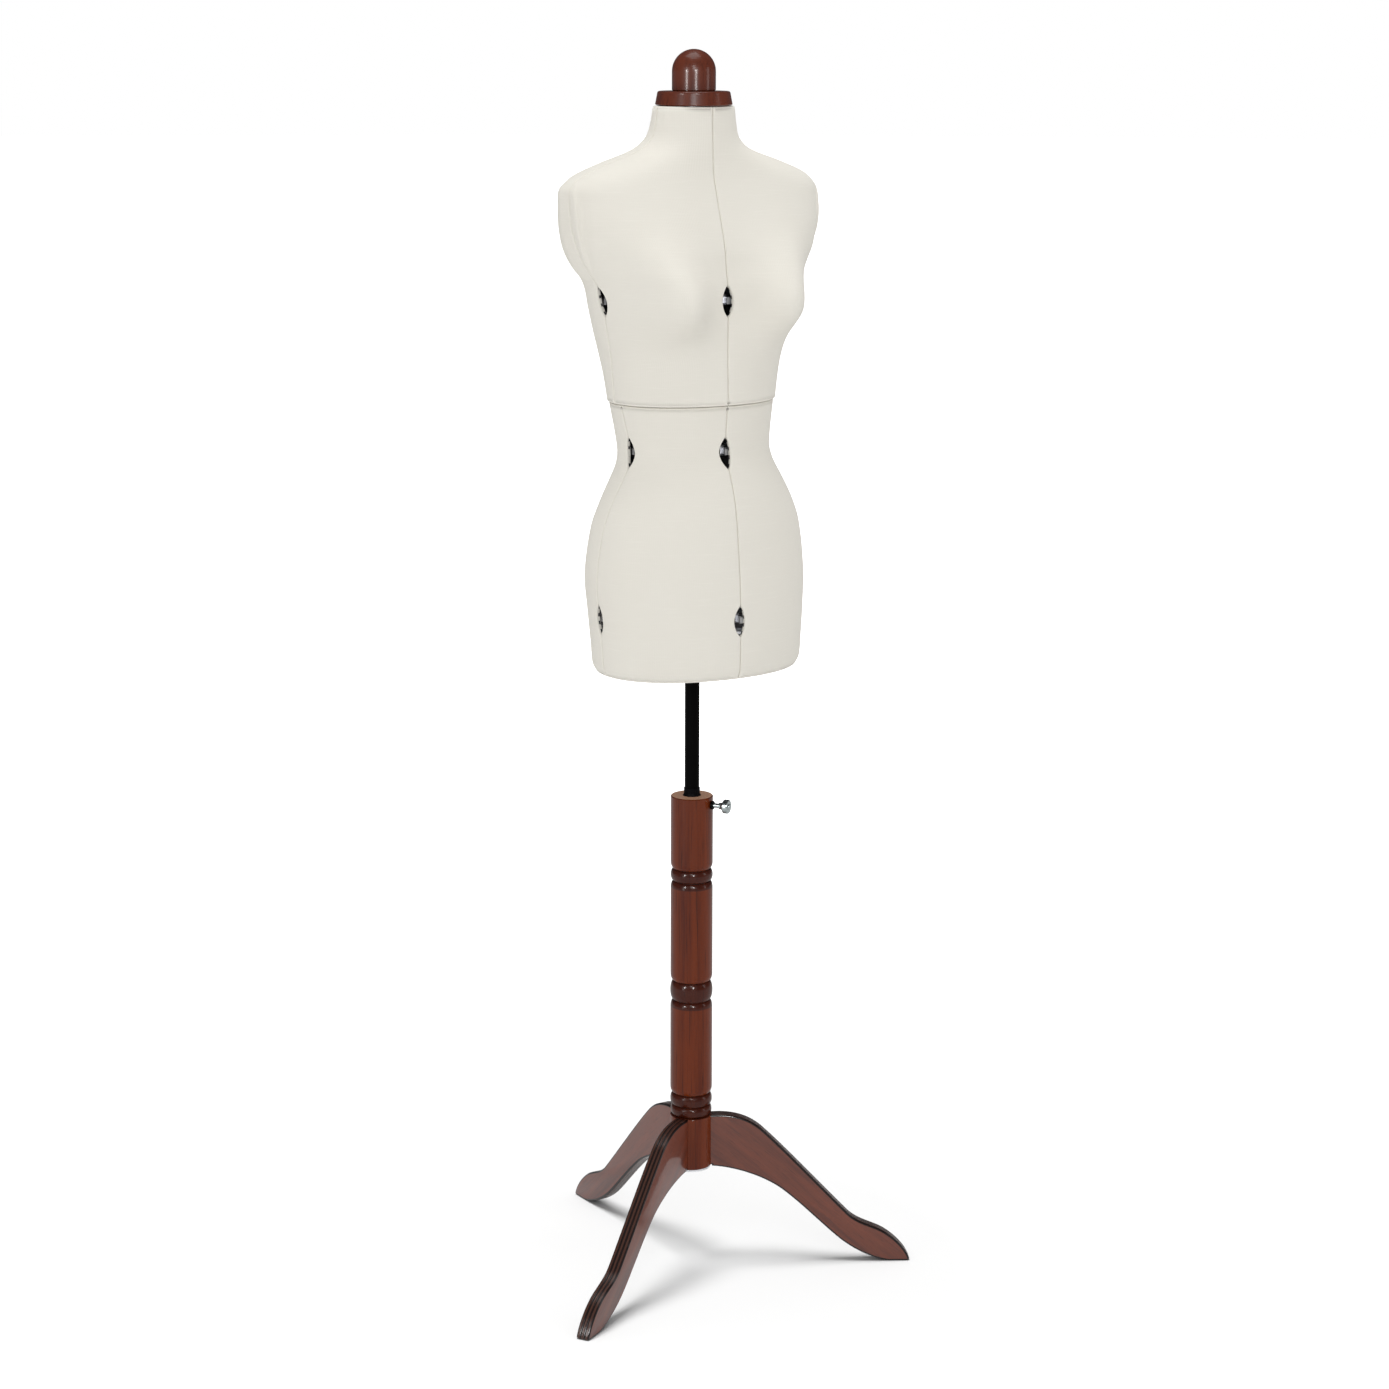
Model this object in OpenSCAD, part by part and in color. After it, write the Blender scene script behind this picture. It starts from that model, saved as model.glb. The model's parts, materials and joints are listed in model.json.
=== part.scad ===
// Adjustable dress form: an eight-panel torso on a sliding mast, a turned wooden column and three legs.
// Millimetres, +Z up. The origin is on the column's axis at floor level.
// The torso faces -Y and its own left side is +X.

/* [Stand] */
// Radius of the turned column
column_r = 27.5; // [26:0.5:30]
// Height of the column's top face above the floor
column_top = 643; // [640:1:650]
// Height of the underside of the column's hub
hub_bottom = 138; // [136:1:140]
// Reach of each leg's tip from the column's axis
leg_reach = 293; // [290:1:310]
// Thickness of the plywood legs
leg_thickness = 18; // [15:1:18]

/* [Mast] */
// Outer radius of the steel mast
mast_r = 9.5; // [9.5:0.1:9.6]
// Height of the mast's lower end
mast_bottom = 330; // [325:1:340]
// Height of the mast's upper end, inside the torso
mast_top = 1185; // [1170:1:1200]
// Height of the clamp screw's axis
lock_z = 632; // [626:1:634]
// Direction in which the clamp screw points, in degrees from +X
lock_angle = -55; // [-60:1:-50]

/* [Torso] */
// Height of the torso's bottom hem
hem_z = 816; // [814:1:817]
// Height of the waist joint between lower and upper panels
waist_z = 1157; // [1156:1:1158]
// Height of the neck's top edge
neck_z = 1521; // [1520:1:1522]
// Thickness of the foam-backed cloth cover
cover_thickness = 2.4; // [2:0.1:2.4]
// Thickness of the moulded panel shells
shell_thickness = 2.5; // [2:0.1:2.5]

/* [Adjusters] */
// Height of the bust wheels' axes
bust_wheel_z = 1286; // [1284:1:1288]
// Height of the waist wheels' axes
waist_wheel_z = 1098; // [1096:1:1100]
// Height of the hip wheels' axes
hip_wheel_z = 890; // [889:1:892]
// Radius of the adjuster wheels
wheel_r = 20.5; // [18:0.5:20.5]
// Width of an adjuster wheel's rim
wheel_width = 6; // [5:0.5:6]
// Depth of an adjuster's axis behind the torso's skin
wheel_depth = 28; // [27.5:0.5:28.5]
// Depth of the pointed openings in the panels that carry a front or back wheel, at that wheel
opening_deep = 9; // [8:0.5:10]
// Depth of every other pointed opening
opening_shallow = 6; // [5:0.5:7]
// Height of the pointed opening over each wheel
opening_height = 40; // [36:1:40]

/* [Neck cap] */
// Radius of the wooden neck flange at its underside
flange_r = 48; // [47:0.1:49]
// Height of the wooden neck flange
flange_height = 17; // [15:1:18]
// Radius of the dome on top of the flange
dome_r = 27.2; // [26:0.1:28]
// Height of the dome above the flange
dome_height = 51; // [50:1:52]

/* [Hidden] */
$fn = 96;
sides = ["front_left", "front_right", "back_left", "back_right"];
places = ["front", "left", "back", "right"];

wood = [0.42, 0.2, 0.14];
plywood = [0.45, 0.24, 0.17];
cloth = [0.89, 0.87, 0.83];
black = [0.06, 0.06, 0.06];
steel = [0.72, 0.73, 0.75];
brass = [0.75, 0.62, 0.3];
nylon = [0.82, 0.8, 0.75];
shell_plastic = [0.1, 0.1, 0.11];

// Gaps between pieces
slip = 0.1;         // total play of a piece seated in its own body
running = 0.07;     // radial clearance of a shaft that slides or turns
seam_gap = 1;       // gap between neighbouring panels
waist_gap = 1.6;    // gap between lower and upper panels
layer_gap = 0.1;    // gap between a shell and its cover

// Guides inside the torso
rod_r = 4;              // guide rods, which point to the four corners
rod_start = 15;         // distance of a rod's inner end from the axis
sleeve_r = 7;           // sliding sleeves on the rods
sleeve_start = 24;      // distance of a sleeve's inner end from the axis
spine_rho = 53;         // distance of a bracket's upright from the axis
spine_width = 12;
spine_depth = 4;
foot_width = 4;         // struts that tie a bracket to its shell
foot_height = 4;
foot_drop = 12;         // how far a strut is below its rod
lower_levels = [862, 1020];
upper_levels = [1215, 1333];
lower_rod_ends = [95, 90];
upper_rod_ends = [86, 76];
tube_r = 14;            // lower tube, on which the upper sleeve slides
lower_tube_top = 1345;
sleeve_wall = 3.4;
sleeve_bottom = 1195;
sleeve_top = 1420;
plug_height = 15;       // solid top of the sleeve, in which the neck's spindle sits
hub_height = 14;        // hubs that hold the guide rods
lower_hub_r = 20;
upper_hub_wall = 8;
socket_depth = 20;
arm_inset = 0.6;        // how far an arm's ends are inside the pieces that it joins
arm_height = 10.4;      // height of an arm at the upright

// Adjusters: distances from the seam's plane
spindle_r = 3;
spindle_reach = 56;     // into the neighbouring panel
spindle_back = 14;      // into the wheel's own panel
wheel_start = 3;
inner_ear = [0.6, 2.6];
outer_ear = [9.4, 13];
nut_span = [3, 11];
nut_depth = 10;
nut_arm = 5.4;          // start of the arm on a nut's inner side
nut_height = 12;
tab_span = [3, 9];      // tab of a nut, bent towards the seam just behind the opening
tab_reach = 20;         // how far the tab is outside the spindle's axis
tab_height = 8;
tab_thickness = 2;
yoke_depth = [22.5, 26.5];
yoke_height = 14;
ear_margin = 5;
bore_span = [-2, 16];
grip_grooves = 20;
grip_r = 1.6;

// Clamp screw: distances from the mast's axis
pad_r = 3.4;
pad_start = 9.65;
pad_end = 13.9;
screw_r = 3;
screw_start = 14;
screw_end = 49;
knob_start = 38.5;
knob_disc = [44.5, 52];
knob_r = 9.2;
insert_start = 16.5;
insert_r = 4.75;
flange_plate_r = 5.6;
flange_plate_end = 30.2;

// Mast, its bush in the column and the bearing under the torso
washer_top = 842;
washer_r = 16;
washer_height = 1.95;
collar_r = 17;
collar_height = 14;
mast_wall = 1.5;
mast_foot_r = 10.9;
mast_foot_height = 12;
mast_foot_plug = 20;
bush_bottom = 588;
bush_r = 12;
bush_neck_r = 10.4;
bush_lip = 10;          // height of the bush above the column

// Neck
spindle_seat_r = 5;
spindle_collar = [12, 6.8];
spindle_top = 22;       // how far the spindle stands above the flange
neck_gap = 1.3;
flange_edge = 3;
dome_round = 27;        // height over which the dome curves in

// Column and legs. The legs are plywood plates in vertical planes through the column's axis.
groove_r = column_r - 4;
bore_bottom = 185;
bore_r = 11;
leg_angles = [-30, 90, 210];
tenon_start = 14;
tenon_top = 208.4;
screw_circle = 20.5;
leg_screw_length = 32;
plate_thickness = 2.5;
plate_r = 25.5;
screw_head = [3, 4.2, 2.2];

// Sections of the torso: height, half width, front depth, back depth, roundness (2 is an ellipse),
// and the Y of the side seam
lower_sections = [
    [816, 134, 108, 88, 2.15, -12], [826, 139.5, 112.5, 93, 2.15, -12], [850, 141.5, 114, 95, 2.15, -12],
    [900, 145.5, 114, 99, 2.15, -10], [940, 147.5, 112, 102, 2.15, -9], [1000, 140.5, 106, 93, 2.15, -12],
    [1032, 129.5, 101, 86, 2.1, -13], [1062, 114, 92, 79, 2.1, -14], [1080, 105, 84, 75, 2.1, -14],
    [1100, 102, 77.5, 75, 2.1, -13], [1157, 109, 80.5, 88, 2.1, -4]
];
upper_sections = [
    [1157, 111, 83, 90, 2.1, 8], [1190, 116.5, 82, 92, 2.1, 3], [1215, 121.5, 81, 94, 2.15, -1],
    [1245, 129, 80, 95, 2.2, -4], [1275, 136, 79, 95, 2.25, -6], [1305, 144.5, 78, 91, 2.3, -6],
    [1330, 161, 75, 88, 2.4, -5], [1350, 171, 73, 86, 2.5, -4], [1380, 178.5, 65, 77, 2.6, -2],
    [1408, 180, 56, 70, 2.6, 0], [1424, 178.5, 51, 68, 2.6, 0], [1438, 163, 47.5, 66, 2.5, 0],
    [1453, 126, 46, 63, 2.2, 0], [1468, 80.5, 45.5, 58, 2.1, 0], [1483, 62, 45, 52, 2, 0],
    [1499, 56.5, 44.5, 47, 2, 0], [1521, 53, 44, 44, 2, 0]
];
lower_rows = [
    hem_z, 821, 828, 850, 870, 880, 890, 900, 910, 935, 960, 985, 1010, 1035, 1058, 1078, 1088,
    1098, 1108, 1118, 1134, waist_z - waist_gap / 2
];
upper_rows = [
    waist_z + waist_gap / 2, 1175, 1200, 1222, 1244, 1266, 1276, 1286, 1296, 1306, 1328, 1350,
    1375, 1400, 1418, 1429, 1438, 1448, 1458, 1470, 1484, 1500, neck_z
];
columns = 12;

// The breasts: place, height, reach, and spread sideways, upwards and downwards
breast_x = 94;
breast_z = 1278;
breast_reach = 86;
breast_spread = 50;
breast_rise = 60;
breast_drop = 40;

// Smooth value of column k of a section table at height z
function interval(z, t, i = 0) = (i >= len(t) - 2 || z < t[i + 1][0]) ? i : interval(z, t, i + 1);
function slope(t, i, k) =
    let(lo = max(i - 1, 0), hi = min(i + 1, len(t) - 1)) (t[hi][k] - t[lo][k]) / (t[hi][0] - t[lo][0]);
function smooth(z, t, k) =
    let(
        i = interval(z, t), h = t[i + 1][0] - t[i][0], u = (z - t[i][0]) / h,
        m0 = slope(t, i, k) * h, m1 = slope(t, i + 1, k) * h
    )
    (2 * pow(u, 3) - 3 * u * u + 1) * t[i][k] + (pow(u, 3) - 2 * u * u + u) * m0
    + (3 * u * u - 2 * pow(u, 3)) * t[i + 1][k] + (pow(u, 3) - u * u) * m1;

function half_width(z, t) = smooth(z, t, 1);
function half_depth(z, t) = (smooth(z, t, 2) + smooth(z, t, 3)) / 2;
function centre_y(z, t) = (smooth(z, t, 3) - smooth(z, t, 2)) / 2;
function roundness(z, t) = smooth(z, t, 4);
function side_seam(z, t) = smooth(z, t, 5);

function breast(x, z) =
    breast_reach * exp(-pow((x - breast_x) / breast_spread, 2)
    - pow((z - breast_z) / (z > breast_z ? breast_rise : breast_drop), 2));

// Point of the skin on the left half: angle -90 is the front centre, 0 the side, 90 the back centre
function skin(angle, z, t) =
    let(
        power = 2 / roundness(z, t),
        x = half_width(z, t) * pow(max(cos(angle), 0), power),
        y = sign(sin(angle)) * half_depth(z, t) * pow(abs(sin(angle)), power),
        front = pow(max(-sin(angle), 0), 2)
    )
    [x, centre_y(z, t) + y - front * breast(x, z), z];

function unit(v) = v / norm(v);
function outward(angle, z, t) =
    let(step = 0.1)
    unit(cross(skin(angle + step, z, t) - skin(angle - step, z, t),
        skin(angle, z + step, t) - skin(angle, z - step, t)));

// Skin angle at distance x from the centre plane, and at depth y
function angle_at_x(x, z, t) = acos(pow(x / half_width(z, t), roundness(z, t) / 2));
function angle_at_y(y, z, t) =
    let(v = (y - centre_y(z, t)) / half_depth(z, t)) sign(v) * asin(pow(abs(v), roundness(z, t) / 2));

// Distance of a panel's edge from the seam's plane, which grows to a pointed opening at each wheel
function edge_gap(z, wheels, opening) =
    seam_gap / 2 + opening * max([for (w = wheels) 1 - pow(2 * abs(z - w) / opening_height, 2), 0]);

// The first and last skin angle of a panel. Openings holds their depths at its centre and side seams.
function panel_angles(z, t, wheels, front, openings) =
    let(c = edge_gap(z, wheels, openings[0]), s = edge_gap(z, wheels, openings[1]))
    front ? [-angle_at_x(c, z, t), angle_at_y(side_seam(z, t) - s, z, t)]
        : [angle_at_y(side_seam(z, t) + s, z, t), angle_at_x(c, z, t)];

// Point at depth d under the skin. Hems stay level and seam edges stay in their planes.
function panel_point(row, col, rows, t, wheels, front, openings, d) =
    let(
        z = rows[row], ends = panel_angles(z, t, wheels, front, openings),
        angle = ends[0] + (ends[1] - ends[0]) * col / columns,
        n = outward(angle, z, t),
        at_centre = col == (front ? 0 : columns), at_side = col == (front ? columns : 0),
        at_hem = row == 0 || row == len(rows) - 1
    )
    skin(angle, z, t) - d * unit([at_centre ? 0 : n[0], at_side ? 0 : n[1], at_hem ? 0 : n[2]]);

// Closed layer of a left-hand panel between two depths under the skin
module layer(rows, t, wheels, front, openings, outer, inner) {
    width = columns + 1;
    top = len(rows) - 1;
    sheet = len(rows) * width;
    function at(s, i, j) = s * sheet + i * width + j;
    function quad(a, b, c, d) = [[a, b, c], [a, c, d]];
    points = [
        for (d = [outer, inner]) for (i = [0:top]) for (j = [0:columns])
            panel_point(i, j, rows, t, wheels, front, openings, d)
    ];
    outer_faces = [for (i = [0:top - 1]) for (j = [0:columns - 1])
        each quad(at(0, i, j), at(0, i + 1, j), at(0, i + 1, j + 1), at(0, i, j + 1))];
    inner_faces = [for (i = [0:top - 1]) for (j = [0:columns - 1])
        each quad(at(1, i, j), at(1, i, j + 1), at(1, i + 1, j + 1), at(1, i + 1, j))];
    hem_faces = [for (j = [0:columns - 1])
        each concat(quad(at(0, 0, j), at(0, 0, j + 1), at(1, 0, j + 1), at(1, 0, j)),
            quad(at(0, top, j), at(1, top, j), at(1, top, j + 1), at(0, top, j + 1)))];
    seam_faces = [for (i = [0:top - 1])
        each concat(quad(at(0, i, 0), at(1, i, 0), at(1, i + 1, 0), at(0, i + 1, 0)),
            quad(at(0, i, columns), at(0, i + 1, columns), at(1, i + 1, columns), at(1, i, columns)))];
    polyhedron(points, concat(outer_faces, inner_faces, hem_faces, seam_faces), convexity = 6);
}

function section_table(upper) = upper ? upper_sections : lower_sections;
function wheel_heights(upper) = upper ? [bust_wheel_z] : [waist_wheel_z, hip_wheel_z];

// The front wheels are carried by the front right panel, the back wheels by the back left one, and the
// side wheels by the two front panels
function carries_centre_wheel(front, left) = front != left;
function carries_side_wheel(front) = front;

module panel_layer(upper, front, left, outer, inner) {
    openings = [carries_centre_wheel(front, left) ? opening_deep : opening_shallow, opening_shallow];
    mirror([left ? 0 : 1, 0, 0])
        layer(upper ? upper_rows : lower_rows, section_table(upper), wheel_heights(upper), front, openings,
            outer, inner);
}

module cover(upper, front, left) {
    color(cloth) panel_layer(upper, front, left, 0, cover_thickness);
}

module shell(upper, front, left) {
    start = cover_thickness + layer_gap;
    color(shell_plastic) panel_layer(upper, front, left, start, start + shell_thickness);
}

// Depth of a wheel's axis: front and back along Y, sides along X
function front_axis(z, t) = skin(-90, z, t)[1] + wheel_depth;
function back_axis(z, t) = skin(90, z, t)[1] - wheel_depth;
function side_axis(z, t) = skin(angle_at_y(side_seam(z, t), z, t), z, t)[0] - wheel_depth;

// Moves a shape drawn at a seam's plane to a left-hand panel. Its +X then points from the seam into the
// panel, and its +Y towards the mast.
module at_centre_seam(z, t, front) {
    translate([0, front ? front_axis(z, t) : back_axis(z, t), z]) mirror([0, front ? 0 : 1, 0]) children();
}

module at_side_seam(z, t, front) {
    translate([side_axis(z, t), side_seam(z, t), z]) {
        if (front) mirror([1, 1, 0]) children();
        else rotate([0, 0, 90]) children();
    }
}

module block(x, y, height) {
    translate([x[0], y[0], -height / 2]) cube([x[1] - x[0], y[1] - y[0], height]);
}

// U-shaped sheet-steel yoke round a wheel
module yoke() {
    reach = [-ear_margin, yoke_depth[1]];
    block(inner_ear, reach, yoke_height);
    block(outer_ear, reach, yoke_height);
    block([inner_ear[0], outer_ear[1]], yoke_depth, yoke_height);
}

module nut_block() {
    block(nut_span, [-ear_margin, nut_depth], nut_height);
    block([tab_span[1] - tab_thickness, tab_span[1]], [-tab_reach, 1 - ear_margin], tab_height);
    block(tab_span, [-tab_reach, tab_thickness - tab_reach], tab_height);
}

module spindle_bore() {
    translate([bore_span[0], 0, 0]) rotate([0, 90, 0])
        cylinder(r = spindle_r + running, h = bore_span[1] - bore_span[0]);
}

// Ends of the arms, a little inside the pieces that they join
function inset(span) = [span[0] + arm_inset, span[1] - arm_inset];

module yoke_anchor() {
    block(inset(outer_ear), inset(yoke_depth), yoke_height - 2 * arm_inset);
}

module nut_anchor() {
    block(inset(nut_span), inset([nut_arm, nut_depth]), nut_height - 2 * arm_inset);
}

module diagonal(front) {
    rotate([0, 0, front ? -45 : 45]) children();
}

module spine_anchor(z, front) {
    depth = spine_depth - 2 * arm_inset;
    width = spine_width - 2 * arm_inset;
    diagonal(front) translate([spine_rho - depth / 2, -width / 2, z - arm_height / 2])
        cube([depth, width, arm_height]);
}

// Distance of the skin from the axis along a diagonal, by bisection over the skin's angle
function diagonal_angle(z, t, front, lo = 0, hi = 89, steps = 20) =
    let(mid = (lo + hi) / 2, p = skin(front ? -mid : mid, z, t))
    steps == 0 ? mid
        : abs(p[1]) < p[0] ? diagonal_angle(z, t, front, mid, hi, steps - 1)
        : diagonal_angle(z, t, front, lo, mid, steps - 1);
function diagonal_reach(z, t, front) =
    let(a = diagonal_angle(z, t, front), p = skin(front ? -a : a, z, t)) norm([p[0], p[1]]);

// Bracket of a left-hand panel. It slides on two guide rods and holds a wheel's yoke or a nut at each seam.
module half_bracket(upper, front, centre_yoke, side_yoke) {
    t = section_table(upper);
    levels = upper ? upper_levels : lower_levels;
    wheels = wheel_heights(upper);
    low = min(concat(levels, wheels)) - 8;
    high = max(concat(levels, wheels)) + 8;
    embed = cover_thickness + layer_gap + shell_thickness - 0.6;
    difference() {
        union() {
            diagonal(front) {
                translate([spine_rho - spine_depth / 2, -spine_width / 2, low])
                    cube([spine_depth, spine_width, high - low]);
                for (z = levels) {
                    translate([sleeve_start, 0, z]) rotate([0, 90, 0])
                        cylinder(r = sleeve_r, h = spine_rho - sleeve_start);
                    translate([spine_rho, -foot_width / 2, z - foot_drop])
                        cube([diagonal_reach(z - foot_drop + foot_height / 2, t, front) - embed - spine_rho,
                            foot_width, foot_height]);
                }
            }
            for (z = wheels) {
                at_centre_seam(z, t, front) {
                    if (centre_yoke) yoke();
                    else nut_block();
                }
                at_side_seam(z, t, front) {
                    if (side_yoke) yoke();
                    else nut_block();
                }
                hull() {
                    spine_anchor(z, front);
                    at_centre_seam(z, t, front) {
                        if (centre_yoke) yoke_anchor();
                        else nut_anchor();
                    }
                }
                hull() {
                    spine_anchor(z, front);
                    at_side_seam(z, t, front) {
                        if (side_yoke) yoke_anchor();
                        else nut_anchor();
                    }
                }
            }
        }
        for (z = wheels) {
            at_centre_seam(z, t, front) spindle_bore();
            at_side_seam(z, t, front) spindle_bore();
        }
        diagonal(front) for (z = levels)
            translate([sleeve_start - 1, 0, z]) rotate([0, 90, 0])
                cylinder(r = rod_r + running, h = spine_rho - sleeve_start + spine_depth + 2);
    }
}

module bracket(upper, front, left) {
    color(steel) mirror([left ? 0 : 1, 0, 0])
        half_bracket(upper, front, carries_centre_wheel(front, left), carries_side_wheel(front));
}

// Black moulded wheel on its threaded spindle, along +X from the wheel to the neighbouring panel
module adjuster() {
    color(black) difference() {
        union() {
            rotate([0, 90, 0]) translate([0, 0, -wheel_start - wheel_width])
                cylinder(r = wheel_r, h = wheel_width);
            rotate([0, 90, 0]) translate([0, 0, -spindle_back])
                cylinder(r = spindle_r, h = spindle_back + spindle_reach);
        }
        for (i = [0:grip_grooves - 1]) rotate([i * 360 / grip_grooves, 0, 0])
            translate([-wheel_start - wheel_width - 1, 0, wheel_r + 0.6]) rotate([0, 90, 0])
                cylinder(r = grip_r, h = wheel_width + 2, $fn = 24);
    }
}

module wheel(z, upper, place) {
    t = section_table(upper);
    side = side_axis(z, t);
    spot = place == "front" ? [0, front_axis(z, t)] : place == "back" ? [0, back_axis(z, t)]
        : [place == "left" ? side : -side, side_seam(z, t)];
    turn = place == "front" ? 0 : place == "back" ? 180 : 90;
    translate([spot[0], spot[1], z]) rotate([0, 0, turn]) adjuster();
}

module guide_rods(levels, ends) {
    color(steel) for (i = [0:len(levels) - 1]) for (a = [45:90:315])
        rotate([0, 0, a]) translate([rod_start, 0, levels[i]]) rotate([0, 90, 0])
            cylinder(r = rod_r, h = ends[i] - rod_start);
}

module ring(outer, inner, z, height) {
    translate([0, 0, z]) difference() {
        cylinder(r = outer, h = height);
        translate([0, 0, -1]) cylinder(r = inner, h = height + 2);
    }
}

module rod_sockets(levels) {
    for (z = levels) for (a = [45:90:315])
        rotate([0, 0, a]) translate([rod_start - 0.5, 0, z]) rotate([0, 90, 0])
            cylinder(r = rod_r + slip / 2, h = socket_depth);
}

module lower_tube() {
    bore = mast_r + running;
    color(steel) difference() {
        union() {
            ring(tube_r, bore, washer_top + 0.3, lower_tube_top - washer_top - 0.3);
            for (z = lower_levels) ring(lower_hub_r, bore, z - hub_height / 2, hub_height);
        }
        rod_sockets(lower_levels);
    }
}

module lower_guide_rods() {
    guide_rods(lower_levels, lower_rod_ends);
}

module upper_sleeve() {
    bore = tube_r + running;
    color(steel) difference() {
        union() {
            translate([0, 0, sleeve_bottom])
                cylinder(r = bore + sleeve_wall, h = sleeve_top - sleeve_bottom);
            for (z = upper_levels) translate([0, 0, z - hub_height / 2])
                cylinder(r = bore + upper_hub_wall, h = hub_height);
        }
        translate([0, 0, sleeve_bottom - 1])
            cylinder(r = bore, h = sleeve_top - plug_height - sleeve_bottom + 1);
        translate([0, 0, sleeve_top - plug_height - 1])
            cylinder(r = spindle_seat_r + slip / 2, h = plug_height + 2);
        rod_sockets(upper_levels);
    }
}

module upper_guide_rods() {
    guide_rods(upper_levels, upper_rod_ends);
}

module neck_spindle() {
    color(steel) {
        translate([0, 0, sleeve_top - plug_height + 1])
            cylinder(r = spindle_seat_r,
                h = neck_z + flange_height + spindle_top - sleeve_top + plug_height);
        translate([0, 0, neck_z - 6]) cylinder(r = spindle_collar[0], h = spindle_collar[1]);
    }
}

// Lathe profile helper: points of an elliptical arc
function arc(centre, radii, from, to, n = 8) =
    [for (i = [0:n]) let(a = from + (to - from) * i / n) centre + [radii[0] * cos(a), radii[1] * sin(a)]];

module neck_flange() {
    top_r = flange_r - 2.5 - flange_edge;
    base = neck_z + neck_gap;
    color(wood) difference() {
        rotate_extrude() polygon(concat(
            [[0, base], [flange_r - 1, base], [flange_r, base + 1]],
            arc([top_r, base + flange_height - flange_edge], [flange_edge, flange_edge], 0, 90),
            [[0, base + flange_height]]
        ));
        translate([0, 0, base - 1]) cylinder(r = spindle_seat_r + running, h = flange_height + 2);
    }
}

module neck_dome() {
    base = neck_z + neck_gap + flange_height;
    color(wood) difference() {
        rotate_extrude() polygon(concat(
            [[0, base], [dome_r - 1.5, base], [dome_r, base + 1.5]],
            arc([0, base + dome_height - dome_round], [dome_r, dome_round], 0, 90, 16)
        ));
        translate([0, 0, base - 1]) cylinder(r = spindle_seat_r + running, h = spindle_top + 2);
    }
}

// Turned column: sections with rounded shoulders, parted by beads and grooves
function shoulder_top(z, rise) = arc([groove_r, z - rise], [column_r - groove_r, rise], 0, 90);
function shoulder_bottom(z, rise) = arc([groove_r, z + rise], [column_r - groove_r, rise], -90, 0);
function bead(z0, z1, proud) =
    arc([groove_r, (z0 + z1) / 2], [column_r + proud - groove_r, (z1 - z0) / 2], -90, 90, 14);

module column() {
    profile = concat(
        [[0, hub_bottom], [column_r - 1.5, hub_bottom], [column_r, hub_bottom + 1.5]],
        shoulder_top(tenon_top + 0.6, 1),
        bead(tenon_top + 0.8, 222.8, -0.4), bead(223.2, 239.2, 0),
        shoulder_bottom(239.6, 9), shoulder_top(367.2, 9),
        bead(367.7, 393.5, 0.3),
        shoulder_bottom(394, 9), shoulder_top(528.8, 9),
        bead(529.4, 545.3, 0),
        shoulder_bottom(545.8, 9),
        [[column_r, column_top - 1], [column_r - 1, column_top], [0, column_top]]
    );
    color(wood) difference() {
        rotate_extrude() polygon(profile);
        translate([0, 0, bore_bottom]) cylinder(r = bore_r, h = column_top);
        translate([0, 0, bush_bottom]) cylinder(r = bush_r, h = column_top);
        translate([0, 0, lock_z]) rotate([0, 90, lock_angle]) translate([0, 0, bush_r - 2])
            cylinder(r = insert_r + slip / 2, h = 30);
        for (a = leg_angles) rotate([0, 0, a])
            translate([tenon_start - slip, -leg_thickness / 2 - slip, hub_bottom - 1])
                cube([40, leg_thickness + 2 * slip, tenon_top + slip - hub_bottom + 1]);
        for (a = leg_angles) rotate([0, 0, a]) translate([screw_circle, 0, hub_bottom - 1])
            cylinder(r = 2.6, h = 4);
    }
}

function bezier(a, b, c, d, n) =
    [for (i = [0:n - 1]) let(u = i / n, v = 1 - u)
        a * pow(v, 3) + b * 3 * v * v * u + c * 3 * v * u * u + d * pow(u, 3)];

// Outline of a leg: distance from the axis, and height
function leg_outline() =
    let(r = leg_reach)
    concat(
        [[tenon_start, hub_bottom + 1], [tenon_start, tenon_top]],
        bezier([column_r - 1, tenon_top], [r - 238, 210], [r - 215, 204], [r - 195, 184], 8),
        bezier([r - 195, 184], [r - 168, 159], [r - 106, 91], [r - 82, 67], 5),
        bezier([r - 82, 67], [r - 67, 53], [r - 50, 51.5], [r - 34, 41.5], 5),
        bezier([r - 34, 41.5], [r - 18, 31], [r - 5, 17], [r, 3], 6),
        bezier([r, 3], [r, 1], [r - 1.5, 0], [r - 4, 0], 3),
        [[r - 4, 0]],
        bezier([r - 27, 0], [r - 49, 3], [r - 75, 16], [r - 96, 34], 6),
        bezier([r - 96, 34], [r - 120, 55], [r - 147, 84], [r - 173, 104], 6),
        bezier([r - 173, 104], [r - 197, 122], [r - 235, 135], [column_r + 0.3, 137], 6),
        [[column_r + 0.3, 137], [column_r + 0.3, hub_bottom + 1]]
    );

module leg(angle) {
    color(plywood) rotate([0, 0, angle]) difference() {
        rotate([90, 0, 0]) linear_extrude(height = leg_thickness, center = true) polygon(leg_outline());
        translate([screw_circle, 0, hub_bottom]) cylinder(r = 2.1, h = leg_screw_length);
    }
}

module hub_plate() {
    base = hub_bottom - plate_thickness;
    color(steel) difference() {
        translate([0, 0, base]) cylinder(r = plate_r, h = plate_thickness);
        for (a = leg_angles) rotate([0, 0, a]) translate([screw_circle, 0, base - 1])
            cylinder(r = 2.3, h = plate_thickness + 2);
    }
}

module leg_screws() {
    base = hub_bottom - plate_thickness - screw_head[2];
    color(steel) for (a = leg_angles) rotate([0, 0, a]) translate([screw_circle, 0, base]) {
        cylinder(r1 = screw_head[0], r2 = screw_head[1], h = screw_head[2]);
        cylinder(r = 2, h = leg_screw_length);
    }
}

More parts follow.
